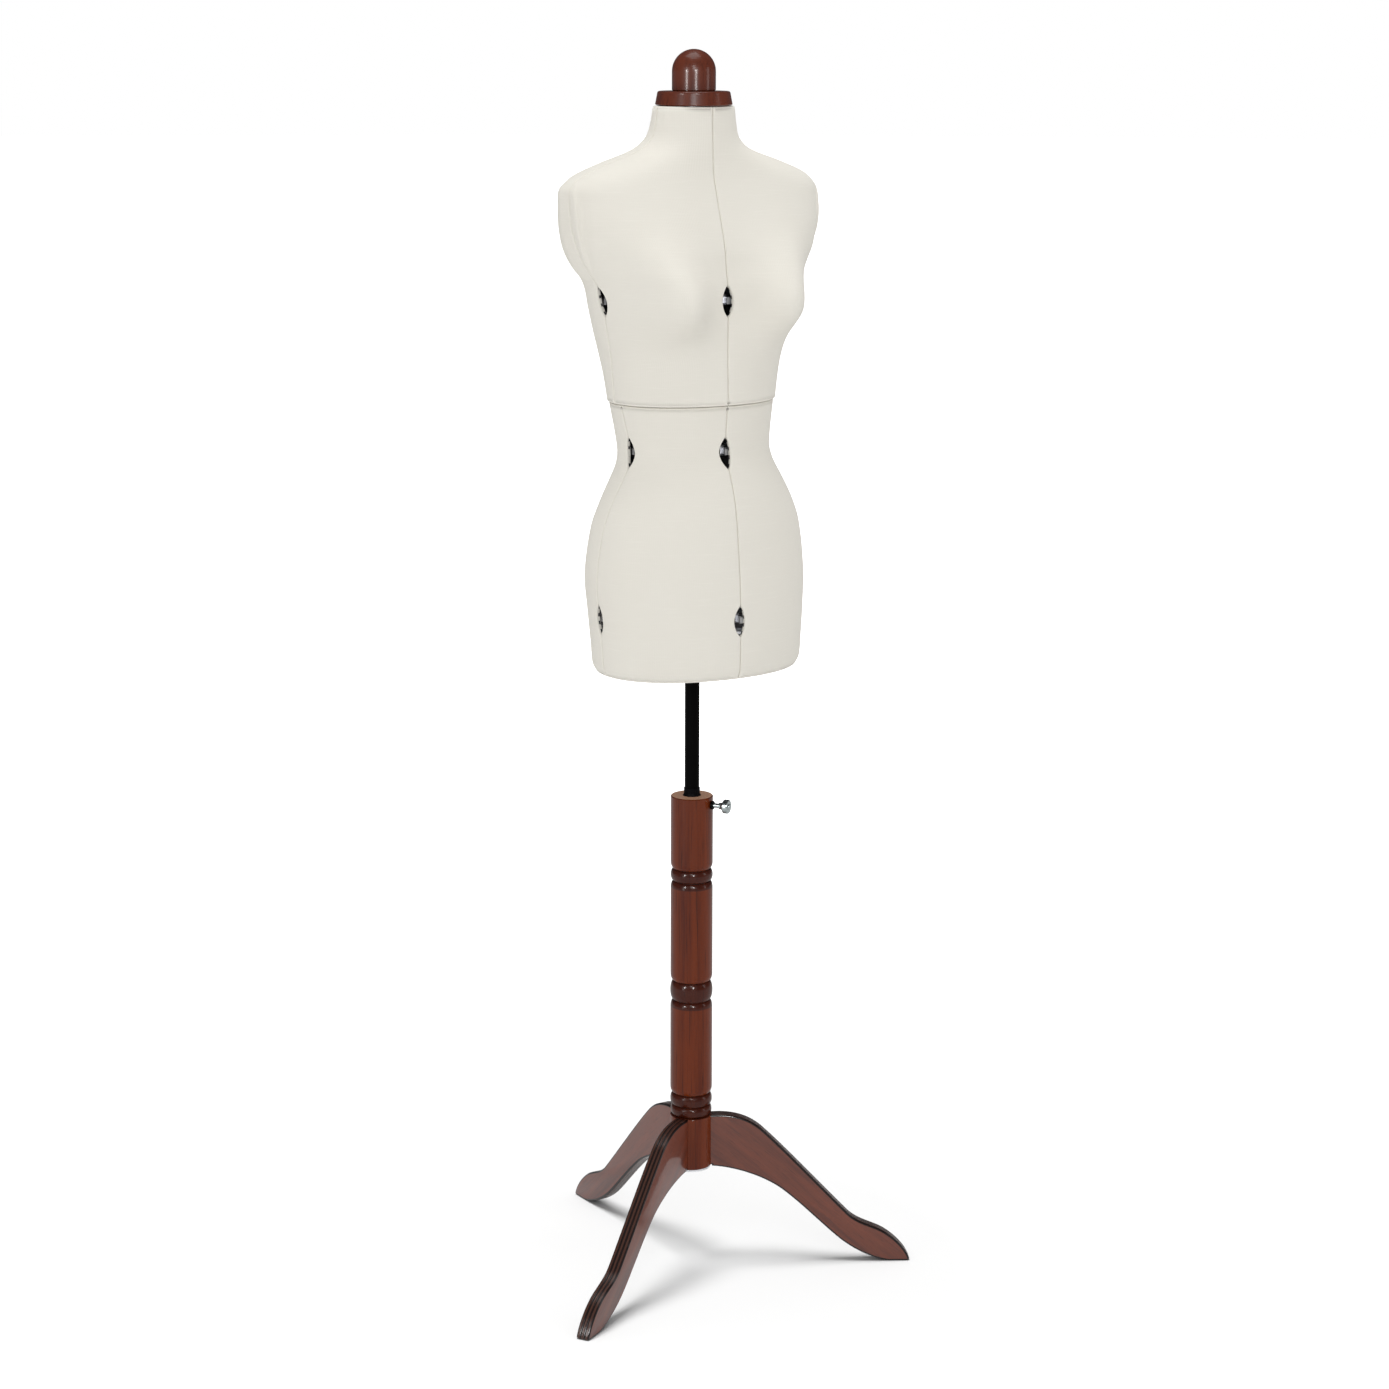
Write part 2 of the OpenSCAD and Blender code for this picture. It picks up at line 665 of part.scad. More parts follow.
module mast_bush() {
    color(black) difference() {
        union() {
            translate([0, 0, bush_bottom]) cylinder(r = bush_r - slip / 2, h = column_top - bush_bottom);
            translate([0, 0, column_top]) cylinder(r1 = bush_neck_r + 0.8, r2 = bush_neck_r, h = 3);
            translate([0, 0, column_top]) cylinder(r = bush_neck_r, h = bush_lip);
        }
        translate([0, 0, bush_bottom - 1])
            cylinder(r = mast_r + running, h = column_top + bush_lip - bush_bottom + 2);
        translate([0, 0, lock_z]) rotate([0, 90, lock_angle]) cylinder(r = pad_r + slip, h = 20);
    }
}

module toward_lock() {
    translate([0, 0, lock_z]) rotate([0, 90, lock_angle]) children();
}

module lock_insert() {
    color(black) toward_lock() difference() {
        union() {
            translate([0, 0, insert_start]) cylinder(r = insert_r, h = column_r - insert_start);
            translate([0, 0, column_r]) cylinder(r = flange_plate_r, h = flange_plate_end - column_r);
        }
        translate([0, 0, insert_start - 1]) cylinder(r = screw_r + running, h = 20);
    }
}

module lock_pad() {
    color(brass) toward_lock() translate([0, 0, pad_start]) cylinder(r = pad_r, h = pad_end - pad_start);
}

module lock_screw() {
    color(steel) toward_lock() translate([0, 0, screw_start])
        cylinder(r = screw_r, h = screw_end - screw_start);
}

module lock_knob() {
    round_edge = 1.6;
    color(steel) toward_lock() difference() {
        rotate_extrude() polygon(concat(
            [[0, knob_start], [4.2, knob_start], [4.4, knob_start + 2.5], [6, knob_disc[0]]],
            arc([knob_r - round_edge, knob_disc[0] + round_edge], [round_edge, round_edge], -90, 0, 5),
            arc([knob_r - round_edge, knob_disc[1] - round_edge], [round_edge, round_edge], 0, 90, 5),
            [[4, knob_disc[1]], [3.4, knob_disc[1] + 1], [0, knob_disc[1] + 1.2]]
        ));
        translate([0, 0, knob_start - 1]) cylinder(r = screw_r + slip / 2, h = screw_end - knob_start + 1.2);
    }
}

module mast_tube() {
    color(black) ring(mast_r, mast_r - mast_wall, mast_bottom, mast_top - mast_bottom);
}

module mast_foot() {
    color(black) translate([0, 0, mast_bottom - mast_foot_height]) {
        cylinder(r = mast_foot_r, h = mast_foot_height - slip);
        cylinder(r = mast_r - mast_wall - slip / 2, h = mast_foot_height + mast_foot_plug);
    }
}

module mast_collar() {
    base = washer_top - washer_height - 0.05 - collar_height;
    color(steel) ring(collar_r, mast_r + slip / 2, base, collar_height);
}

module swivel_washer() {
    color(nylon) ring(washer_r, mast_r + slip, washer_top - washer_height, washer_height - 0.05);
}

column();
leg(leg_angles[0]);  // leg_front_left
leg(leg_angles[1]);  // leg_back
leg(leg_angles[2]);  // leg_front_right
hub_plate();
leg_screws();
mast_bush();
lock_insert();
lock_pad();
lock_screw();
lock_knob();
mast_tube();
mast_foot();
mast_collar();
swivel_washer();
lower_tube();
lower_guide_rods();
upper_sleeve();
upper_guide_rods();
neck_spindle();
neck_flange();
neck_dome();
for (upper = [false, true]) for (front = [true, false]) for (left = [true, false]) {
    name = str(upper ? "upper_" : "lower_", front ? "front_" : "back_", left ? "left_" : "right_");
    bracket(upper, front, left);
    shell(upper, front, left);
    cover(upper, front, left);
}
for (place = places) {
    wheel(bust_wheel_z, true, place);
    wheel(waist_wheel_z, false, place);
    wheel(hip_wheel_z, false, place);
}
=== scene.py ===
"""Looks of an adjustable dress form: cloth covers, turned wood, plywood legs and adjuster wheels
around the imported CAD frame. Shapes are in millimetres and are turned into metres when their meshes
are made. Materials, lights and the camera work in metres, as do names that end in _m or _M."""

import json
import math

import bpy
import numpy as np
from mathutils import Matrix, Vector


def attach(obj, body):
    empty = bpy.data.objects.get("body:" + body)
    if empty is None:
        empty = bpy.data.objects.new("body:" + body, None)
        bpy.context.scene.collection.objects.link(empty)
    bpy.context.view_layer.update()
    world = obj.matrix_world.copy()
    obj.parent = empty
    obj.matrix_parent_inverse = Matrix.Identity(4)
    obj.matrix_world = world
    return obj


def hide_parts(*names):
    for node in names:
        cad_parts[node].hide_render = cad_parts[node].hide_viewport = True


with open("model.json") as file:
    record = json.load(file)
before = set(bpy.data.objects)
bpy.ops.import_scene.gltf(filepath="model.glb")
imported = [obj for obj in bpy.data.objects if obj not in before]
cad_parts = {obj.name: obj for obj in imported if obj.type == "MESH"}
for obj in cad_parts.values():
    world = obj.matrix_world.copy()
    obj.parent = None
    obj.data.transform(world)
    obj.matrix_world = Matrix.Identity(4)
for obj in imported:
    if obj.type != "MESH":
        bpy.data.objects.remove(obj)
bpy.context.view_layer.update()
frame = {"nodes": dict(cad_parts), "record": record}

MM = 0.001

# ---------------------------------------------------------------- shape of the torso
# Height, half width, front depth, back depth, roundness (2 is an ellipse), and the side seam's Y
LOWER_SECTIONS = np.array([
    [816, 134, 108, 88, 2.15, -12], [826, 139.5, 112.5, 93, 2.15, -12], [850, 141.5, 114, 95, 2.15, -12],
    [900, 145.5, 114, 99, 2.15, -10], [940, 147.5, 112, 102, 2.15, -9], [1000, 140.5, 106, 93, 2.15, -12],
    [1032, 129.5, 101, 86, 2.1, -13], [1062, 114, 92, 79, 2.1, -14], [1080, 105, 84, 75, 2.1, -14],
    [1100, 102, 77.5, 75, 2.1, -13], [1157, 109, 80.5, 88, 2.1, -4],
])
UPPER_SECTIONS = np.array([
    [1157, 111, 83, 90, 2.1, 8], [1190, 116.5, 82, 92, 2.1, 3], [1215, 121.5, 81, 94, 2.15, -1],
    [1245, 129, 80, 95, 2.2, -4], [1275, 136, 79, 95, 2.25, -6], [1305, 144.5, 78, 91, 2.3, -6],
    [1330, 161, 75, 88, 2.4, -5], [1350, 171, 73, 86, 2.5, -4], [1380, 178.5, 65, 77, 2.6, -2],
    [1408, 180, 56, 70, 2.6, 0], [1424, 178.5, 51, 68, 2.6, 0], [1438, 163, 47.5, 66, 2.5, 0],
    [1453, 126, 46, 63, 2.2, 0], [1468, 80.5, 45.5, 58, 2.1, 0], [1483, 62, 45, 52, 2, 0],
    [1499, 56.5, 44.5, 47, 2, 0], [1521, 53, 44, 44, 2, 0],
])
HEM_Z, WAIST_Z, NECK_Z, WAIST_GAP = 816, 1157, 1521, 1.6
# Middle of the breast, how far it stands out at the skin's front, and its half width and half heights
BREAST = {"x": 94, "z": 1278, "reach": 86, "spread": 50, "rise": 60, "drop": 40}
# Gap between the covers at a seam, and the pointed openings' depth and height at the wheels
SEAM_GAP = 1
OPENING_DEEP, OPENING_SHALLOW, OPENING_HEIGHT = 9, 6, 40
# Extra depth of a front panel's side opening, which clears the rounded rim of the wheel it carries
RIM_ROOM = 0.9
WHEELS = (("bust", 1286, "upper"), ("waist", 1098, "lower"), ("hip", 890, "lower"))
WHEEL_HEIGHTS = {t: [z for _, z, tier in WHEELS if tier == t] for t in ("upper", "lower")}
# Depth of the wheels' axes under the skin
WHEEL_DEPTH = 28

# ---------------------------------------------------------------- shape of the legs
LEG_REACH, LEG_THICKNESS, COLUMN_R, HUB_BOTTOM = 293, 18, 27.5, 138
TENON_START, TENON_TOP = 14, 208.4
LEG_ANGLES = {"front_left": -30, "back": 90, "front_right": 210}
EDGE_ROUND = 2.6
# Glue lines, from the plate's middle plane, and the grooves there. Two plies are one dark-pale period.
PLY = 2.8
PLY_LINES = tuple(PLY * k for k in (-2, -1, 0, 1, 2))
GROOVE_DEPTH, GROOVE_HALF_WIDTH = 0.3, 0.5

# Cloth round a panel's edge, as (distance from the edge, depth under the skin). It starts in the
# turned-in strip behind the shell, passes round the shell's edge, and ends on the skin.
CLOTH_OUTSIDE = [
    (8, 5.9), (1.6, 5.9), (0.5, 5.75), (-0.1, 5.3), (-0.3, 4.6), (-0.3, 2.6), (-0.2, 1.5), (0.15, 0.75),
    (0.75, 0.28), (1.5, 0.08), (2.6, 0),
]
CLOTH_INSIDE = [
    (8, 5.1), (1.6, 5.1), (0.4, 5.1), (0.05, 5.08), (-0.03, 4.9), (-0.03, 2.5), (0, 2.42), (0.6, 2.4),
    (1.2, 2.4), (1.8, 2.4), (2.6, 2.4),
]
CLOTH_THICKNESS = 2.4
# A cover's grid between its turned edges. Its relief eases in over the first columns from a seam.
PANEL_COLUMNS = 90
ROW_STEP = 4.5
OPENING_ROWS = 25
EASE_COLUMNS = 7


def smooth(z, table, k):
    """Cubic through column k of a section table at the heights z."""
    heights, values = table[:, 0], table[:, k]
    last = len(heights) - 1
    i = np.clip(np.searchsorted(heights, z, side="right") - 1, 0, last - 1)

    def slope(j):
        low, high = np.maximum(j - 1, 0), np.minimum(j + 1, last)
        return (values[high] - values[low]) / (heights[high] - heights[low])

    span = heights[i + 1] - heights[i]
    u = (z - heights[i]) / span
    return (
        (2 * u**3 - 3 * u**2 + 1) * values[i]
        + (u**3 - 2 * u**2 + u) * slope(i) * span
        + (3 * u**2 - 2 * u**3) * values[i + 1]
        + (u**3 - u**2) * slope(i + 1) * span
    )


def half_depth(z, table):
    """Half of the section's depth, front to back."""
    return (smooth(z, table, 2) + smooth(z, table, 3)) / 2


def centre_y(z, table):
    """Y of the section's middle."""
    return (smooth(z, table, 3) - smooth(z, table, 2)) / 2


def skin(angle, z, table):
    """Points of the skin's left half. Angles are in radians: -pi/2 is the front centre, 0 the side."""
    power = 2 / smooth(z, table, 4)
    x = smooth(z, table, 1) * np.maximum(np.cos(angle), 0) ** power
    y = np.sign(np.sin(angle)) * half_depth(z, table) * np.abs(np.sin(angle)) ** power
    rise = np.where(z > BREAST["z"], BREAST["rise"], BREAST["drop"])
    bump = np.exp(-(((x - BREAST["x"]) / BREAST["spread"]) ** 2) - ((z - BREAST["z"]) / rise) ** 2)
    front = np.maximum(-np.sin(angle), 0) ** 2
    return np.stack([x, centre_y(z, table) + y - front * BREAST["reach"] * bump, z + 0 * x], -1)


def unit(v):
    return v / np.maximum(np.linalg.norm(v, axis=-1, keepdims=True), 1e-9)


def outward(angle, z, table):
    """Unit normals of the skin, from points a little to either side."""
    turn, rise = math.radians(0.1), 0.1
    across = skin(angle + turn, z, table) - skin(angle - turn, z, table)
    along = skin(angle, z + rise, table) - skin(angle, z - rise, table)
    return unit(np.cross(across, along))


def angle_at_x(x, z, table):
    """Angle without its sign, the same for the front and the back, of the skin's point at this X."""
    return np.arccos(np.clip(x / smooth(z, table, 1), 0, 1) ** (smooth(z, table, 4) / 2))


def angle_at_y(y, z, table):
    """Angle of the skin's point at this Y, away from the breast."""
    v = np.clip((y - centre_y(z, table)) / half_depth(z, table), -1, 1)
    return np.sign(v) * np.arcsin(np.abs(v) ** (smooth(z, table, 4) / 2))


def edge_gap(z, wheels, opening):
    """Distance of a panel's edge from the seam's plane, with a pointed opening at each wheel."""
    lens = np.maximum.reduce([1 - (2 * np.abs(z - w) / OPENING_HEIGHT) ** 2 for w in wheels])
    return SEAM_GAP / 2 + opening * np.maximum(lens, 0)


# ---------------------------------------------------------------- meshes
def add_piece(
    name, points, faces, materials, uv=None, face_materials=None, smooth_shade=True, corner_uv=None
):
    """A mesh object from points in millimetres, with a UV for each point or for each face's corner."""
    mesh = bpy.data.meshes.new(name)
    mesh.from_pydata((np.asarray(points, float) * MM).tolist(), [], [list(map(int, f)) for f in faces])
    for m in materials:
        mesh.materials.append(m)
    if smooth_shade:
        mesh.polygons.foreach_set("use_smooth", [True] * len(mesh.polygons))
    if face_materials is not None:
        mesh.polygons.foreach_set("material_index", face_materials)
    if uv is not None:
        layer = mesh.uv_layers.new(name="UVMap")
        corners = np.zeros(len(mesh.loops), int)
        mesh.loops.foreach_get("vertex_index", corners)
        layer.data.foreach_set("uv", np.asarray(uv, np.float32)[corners].ravel())
    if corner_uv is not None:
        layer = mesh.uv_layers.new(name="UVMap")
        layer.data.foreach_set("uv", np.asarray(corner_uv, np.float32).ravel())
    mesh.validate()
    mesh.update()
    piece = bpy.data.objects.new(name, mesh)
    bpy.context.scene.collection.objects.link(piece)
    return piece


def place(piece, body, slot, *nodes):
    """Rides on a body and stands for these CAD nodes. The slot is not used."""
    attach(piece, body)
    if nodes:
        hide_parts(*nodes)
    return piece


def grid_faces(rows, columns, start=0, flip=False, wrap=False):
    """Quads of a grid of points, row by row. With wrap, the last column joins the first."""
    i, j = np.meshgrid(np.arange(rows - 1), np.arange(columns if wrap else columns - 1), indexing="ij")
    k = (j + 1) % columns
    quads = np.stack([i * columns + j, i * columns + k, (i + 1) * columns + k, (i + 1) * columns + j], -1)
    quads = quads.reshape(-1, 4) + start
    return quads[:, ::-1] if flip else quads


def border(rows, columns):
    """Indices round the edge of a grid, once round."""
    low = [(0, j) for j in range(columns)]
    right = [(i, columns - 1) for i in range(1, rows)]
    high = [(rows - 1, j) for j in range(columns - 2, -1, -1)]
    left = [(i, 0) for i in range(rows - 2, 0, -1)]
    return [i * columns + j for i, j in low + right + high + left]


def sharpen(piece, degrees):
    """Marks the edges that are sharper than this angle, so that only round ones shade smoothly."""
    piece.data.set_sharp_from_angle(angle=math.radians(degrees))
    return piece


# ---------------------------------------------------------------- materials
DARK_WOOD, LIGHT_WOOD = (0.06, 0.005, 0.001), (0.15, 0.024, 0.002)
DARK_VENEER, LIGHT_VENEER = (0.065, 0.01, 0.004), (0.145, 0.028, 0.009)


def new_material(name, color, roughness, **sockets):
    """A Principled material. Keyword names are socket names with _ for a space."""
    made = bpy.data.materials.new(name)
    made.use_nodes = True
    shader = made.node_tree.nodes["Principled BSDF"]
    shader.inputs["Base Color"].default_value = (*color, 1)
    shader.inputs["Roughness"].default_value = roughness
    for key, value in sockets.items():
        shader.inputs[key.replace("_", " ")].default_value = value
    return made


class Nodes:
    """Short names for adding nodes to a material. Inputs are named, or numbered as i0, i1 and so on."""

    def __init__(self, made):
        self.tree = made.node_tree
        self.shader = self.tree.nodes["Principled BSDF"]
        self.coords = self.tree.nodes.new("ShaderNodeTexCoord")

    def link(self, output, target):
        self.tree.links.new(output, target)

    def add(self, kind, settings=None, **inputs):
        node = self.tree.nodes.new(kind)
        for key, value in (settings or {}).items():
            setattr(node, key, value)
        for key, value in inputs.items():
            numbered = key[0] == "i" and key[1:].isdigit()
            socket = node.inputs[int(key[1:]) if numbered else key]
            if isinstance(value, bpy.types.NodeSocket):
                self.link(value, socket)
            else:
                socket.default_value = value
        return node

    def split(self, vector, part):
        return self.add("ShaderNodeSeparateXYZ", Vector=vector).outputs[part]

    def scaled(self, vector, scale):
        return self.add("ShaderNodeMapping", Vector=vector, Scale=scale).outputs[0]

    def noise(self, vector, scale, detail=4, roughness=0.55):
        made = self.add(
            "ShaderNodeTexNoise", Vector=vector, Scale=scale, Detail=detail, Roughness=roughness
        )
        return made.outputs["Fac"]

    def waves(self, vector, direction, scale):
        made = self.add(
            "ShaderNodeTexWave", {"bands_direction": direction}, Vector=vector, Scale=scale,
            Distortion=0.4, Detail=1,
        )
        return made.outputs["Fac"]

    def ramp(self, value, stops):
        made = self.add("ShaderNodeValToRGB", Fac=value)
        elements = made.color_ramp.elements
        while len(elements) < len(stops):
            elements.new(0.5)
        for element, (position, color) in zip(elements, stops):
            element.position = position
            element.color = (*color, 1)
        return made.outputs["Color"]

    def mix(self, factor, a, b):
        return self.add("ShaderNodeMix", {"data_type": "RGBA"}, i0=factor, i6=a, i7=b).outputs[2]

    def math(self, operation, a, b=0):
        return self.add("ShaderNodeMath", {"operation": operation}, i0=a, i1=b).outputs[0]

    def rescale(self, value, low, high, start=0, stop=1):
        """Maps start..stop onto low..high, and holds the ends."""
        made = self.add("ShaderNodeMapRange", i0=value, i1=start, i2=stop, i3=low, i4=high)
        return made.outputs[0]

    def bump(self, height, strength, distance, normal=None):
        made = self.add("ShaderNodeBump", Height=height, Strength=strength, Distance=distance)
        if normal is not None:
            self.link(normal, made.inputs["Normal"])
        return made.outputs[0]

    def color_to(self, socket):
        self.link(socket, self.shader.inputs["Base Color"])

    def roughness_to(self, socket):
        self.link(socket, self.shader.inputs["Roughness"])

    def normal_to(self, socket):
        self.link(socket, self.shader.inputs["Normal"])


def cloth_material():
    """Cream knitted cloth on thin foam: fine ribs, slight slubs and mottling, soft sheen."""
    made = new_material(
        "cream_jersey", (0.78, 0.75, 0.7), 0.88, Specular_IOR_Level=0.15, Sheen_Weight=0.12,
        Sheen_Roughness=0.5,
    )
    n = Nodes(made)
    uv = n.coords.outputs["UV"]
    knit = n.math("MULTIPLY", n.waves(uv, "X", 140), n.waves(uv, "Y", 180))
    slubs = n.noise(n.scaled(uv, (25, 420, 1)), 1, 3)
    mottle = n.noise(n.coords.outputs["Object"], 9, 3)
    base = n.mix(mottle, (0.775, 0.745, 0.672, 1), (0.8, 0.775, 0.706, 1))
    tone = n.mix(n.rescale(knit, 0, 0.35), base, (0.72, 0.69, 0.618, 1))
    tone = n.mix(n.rescale(slubs, 0, 0.5, 0.55, 0.8), tone, (0.83, 0.805, 0.735, 1))
    n.color_to(tone)
    threads = n.bump(knit, 0.35, 0.0003)
    n.normal_to(n.bump(slubs, 0.25, 0.0004, threads))
    return made


# Dark stained beads and grooves of the column, from and to these heights, and its sawn top
BEAD_BANDS_M = ((0.2085, 0.2396), (0.359, 0.3938), (0.521, 0.5457))
BAND_FADE_M = 0.001
SAWN_TOP_M = (0.6425, 0.65)


def times(color, factor):
    return tuple(c * factor for c in color)


def wood_color(n, along, across, dark, light, space):
    """Close-grained stained hardwood. Returns the color and the grain's height."""
    grain = n.noise(n.scaled(space, (across, across, along)), 1, 6, 0.62)
    pores = n.noise(n.scaled(space, (across * 8, across * 8, along * 5)), 1, 2)
    cloud = n.noise(space, 7, 2)
    color = n.ramp(grain, [(0.3, dark), (0.5, light), (0.75, times(light, 1.35))])
    color = n.mix(n.rescale(cloud, 0, 0.5), color, (*dark, 1))
    color = n.mix(n.rescale(pores, 0, 0.6, 0.56, 0.72), color, (*times(dark, 0.4), 1))
    return color, grain


def neck_wood_material():
    """The same stain on the neck cap under a softer lacquer, with fine marks of the lathe tool round it."""
    made = new_material(
        "neck_mahogany", LIGHT_VENEER, 0.4, Specular_IOR_Level=0.15, Coat_Weight=0.42, Coat_Roughness=0.18
    )
    n = Nodes(made)
    space = n.coords.outputs["Object"]
    color, grain = wood_color(n, 4, 60, DARK_VENEER, LIGHT_VENEER, space)
    n.color_to(n.mix(0.35, color, (0.1, 0.022, 0.012, 1)))
    marks = n.noise(n.scaled(space, (6, 6, 700)), 1, 2)
    n.roughness_to(n.rescale(grain, 0.34, 0.46))
    n.normal_to(n.bump(marks, 0.25, 0.0003))
    return made


def turned_wood_material():
    """Lacquered mahogany colour with darker beads. The column's sawn top is paler, with growth rings."""
    made = new_material(
        "lacquered_mahogany", LIGHT_WOOD, 0.3, Specular_IOR_Level=0.1, Coat_Weight=0.3, Coat_Roughness=0.06
    )
    n = Nodes(made)
    space = n.coords.outputs["Object"]
    color, grain = wood_color(n, 2.6, 55, DARK_WOOD, LIGHT_WOOD, space)
    height = n.split(space, "Z")
    for low, high in BEAD_BANDS_M:
        above = n.rescale(height, 0, 1, low - BAND_FADE_M, low)
        below = n.rescale(height, 1, 0, high, high + BAND_FADE_M)
        banded = n.math("MULTIPLY", n.math("MULTIPLY", above, below), 0.7)
        color = n.mix(banded, color, (0.024, 0.004, 0.003, 1))
    shifted = n.add("ShaderNodeMapping", Vector=space, Location=(0.06, 0.03, 0))
    rings = n.add(
        "ShaderNodeTexWave", {"wave_type": "RINGS", "rings_direction": "Z"},
        Vector=shifted.outputs[0], Scale=70, Distortion=2, Detail=3,
    )
    fibre = n.noise(space, 900, 2)
    sawn = n.ramp(rings.outputs["Fac"], [(0, (0.6, 0.32, 0.19)), (1, (0.85, 0.5, 0.33))])
    sawn = n.mix(n.rescale(fibre, 0, 0.45), sawn, (0.3, 0.14, 0.08, 1))
    facing_up = n.math("GREATER_THAN", n.split(n.coords.outputs["Normal"], "Z"), 0.9)
    low, high = SAWN_TOP_M
    at_top = n.math("MULTIPLY", n.math("GREATER_THAN", height, low), n.math("LESS_THAN", height, high))
    n.color_to(n.mix(n.math("MULTIPLY", facing_up, at_top), color, sawn))
    n.roughness_to(n.rescale(grain, 0.28, 0.42))
    n.normal_to(n.bump(grain, 0.06, 0.0004))
    return made


def leg_face_material():
    """Stained veneer, whose grain runs down along the leg, under satin lacquer."""
    made = new_material(
        "plywood_face", LIGHT_VENEER, 0.34, Specular_IOR_Level=0.3, Coat_Weight=0.9, Coat_Roughness=0.1
    )
    n = Nodes(made)
    along_leg = (0, 0, math.radians(42))
    turned = n.add("ShaderNodeMapping", Vector=n.coords.outputs["UV"], Rotation=along_leg).outputs[0]
    grain = n.noise(n.scaled(turned, (5, 75, 1)), 1, 6, 0.6)
    pores = n.noise(n.scaled(turned, (45, 700, 1)), 1, 2)
    cloud = n.noise(turned, 9, 3)
    light = times(LIGHT_VENEER, 1.05)
    color = n.ramp(grain, [(0.28, DARK_VENEER), (0.5, light), (0.75, times(light, 1.3))])
    color = n.mix(n.rescale(cloud, 0, 0.4), color, (*DARK_VENEER, 1))
    n.color_to(n.mix(n.rescale(pores, 0, 0.5, 0.56, 0.72), color, (*times(DARK_VENEER, 0.4), 1)))
    n.roughness_to(n.rescale(grain, 0.3, 0.45))
    n.normal_to(n.bump(grain, 0.08, 0.0004))
    return made


def ply_edge_material():
    """Edges of the plies: bands of long grain and darker end grain. The UV's V runs through the plate."""
    made = new_material(
        "plywood_edge", DARK_VENEER, 0.3, Specular_IOR_Level=0.15, Coat_Weight=0.7, Coat_Roughness=0.12
    )
    n = Nodes(made)
    uv = n.coords.outputs["UV"]
    wander = n.noise(n.scaled(uv, (18, 1, 1)), 1, 2)
    through = n.math("ADD", n.split(uv, "Y"), n.rescale(wander, -0.0004, 0.0004))
    phase = n.math("MULTIPLY", through, 2 * math.pi / (2 * PLY * MM))
    band = n.rescale(n.math("COSINE", phase), 0, 1, -0.35, 0.35)
    fibre = n.noise(n.scaled(uv, (60, 900, 1)), 1, 4)
    pale = n.mix(n.rescale(fibre, 0, 0.6), (0.085, 0.034, 0.022, 1), (0.035, 0.013, 0.009, 1))
    deep = n.mix(n.rescale(fibre, 0, 0.6), (0.012, 0.004, 0.003, 1), (0.004, 0.002, 0.0015, 1))
    n.color_to(n.mix(band, deep, pale))
    n.roughness_to(n.rescale(fibre, 0.22, 0.42))
    n.normal_to(n.bump(fibre, 0.25, 0.0004))
    return made


def plain_material(name, color, roughness, grain, depth_m, spread=0.1, **sockets):
    """Moulded plastic, paint or metal. The fine surface has grains per metre of this depth, and the
    roughness wanders by the spread."""
    made = new_material(name, color, roughness, **sockets)
    n = Nodes(made)
    fine = n.noise(n.coords.outputs["Object"], grain, 3)
    broad = n.noise(n.coords.outputs["Object"], 35, 3)
    n.color_to(n.mix(n.rescale(broad, 0, 1), (*times(color, 0.88), 1), (*color, 1)))
    n.roughness_to(n.rescale(broad, roughness - spread, roughness + spread, 0.25, 0.75))
    n.normal_to(n.bump(fine, 0.3, depth_m))
    return made


cloth = cloth_material()
turned_wood = turned_wood_material()
neck_wood = neck_wood_material()
leg_face = leg_face_material()
ply_edge = ply_edge_material()
black_plastic = plain_material("black_plastic", (0.004, 0.004, 0.005), 0.42, 500, 0.0002, IOR=1.1)
black_paint = plain_material("black_powder_coat", (0.0025, 0.0025, 0.0025), 0.4, 900, 0.0001, IOR=1.08)
dark_shell = plain_material("charcoal_shell", (0.03, 0.03, 0.032), 0.55, 300, 0.0003)
zinc = plain_material("bright_zinc", (0.86, 0.87, 0.9), 0.42, 900, 0.00005, Metallic=1)
knob_steel = plain_material("polished_steel", (0.4, 0.45, 0.45), 0.26, 700, 0.00003, 0.06, Metallic=1)
aluminium = plain_material("drawn_aluminium", (0.78, 0.79, 0.8), 0.35, 600, 0.00005, Metallic=1)
brass = plain_material("brass", (0.72, 0.52, 0.24), 0.3, 600, 0.00005, Metallic=1)
nylon = plain_material("natural_nylon", (0.78, 0.76, 0.7), 0.5, 400, 0.0001)

SLOT_MATERIALS = {
    "turned_wood": turned_wood, "plywood": leg_face, "cream_cloth": cloth,
    "black_plastic": black_plastic, "charcoal_plastic": dark_shell, "nylon": nylon,
    "black_paint": black_paint, "zinc_steel": zinc, "chrome": knob_steel,
    "aluminium": aluminium, "brass": brass,
}


def dress_cad_nodes():
    """Every CAD node gets the material of its slot, except the neck cap, which has its own lacquer."""
    for part in frame["record"]["subparts"]:
        node = frame["nodes"][part["node"]]
        node.data.materials.clear()
        is_neck = part["node"] in ("neck_flange", "neck_dome")
        node.data.materials.append(neck_wood if is_neck else SLOT_MATERIALS[part["material_slot"]])


# ---------------------------------------------------------------- cloth covers
ARM_OVAL = {"y": 10.5, "z": 1375, "half_depth": 27, "half_height": 62}
# The rim is raised inside the oval and falls over its edge into a valley, which is broad towards the
# chest and narrow under the arm. The relief fades out over the shoulder and towards the chest.
RIM = {"height": 2.6, "foot": 3, "slope": 4}
VALLEY = {"depth": 2.3, "middle": 4.5, "rim_side": 2.5, "chest_side": 10, "narrowing": 6}
UNDER_ARM = {"top": 1355, "span": 30}
SHOULDER_FADE = {"top": 1438, "span": 25}
CHEST_FADE = {"x": 128, "span": 18}
# Ridges where an opening's ends pull at the cloth, that far from the wheel's height
PULL = {"height": 0.7, "half_width": 2.2, "from_wheel": 21, "reach_above": 22, "reach_below": 30}
# Heights under the arm where the rows are closer together
FINE_ROWS = np.linspace(1300, 1345, 16)
LEAST_ROW_STEP = 2.2


def hill(distance, width):
    return np.exp(-((distance / width) ** 2))


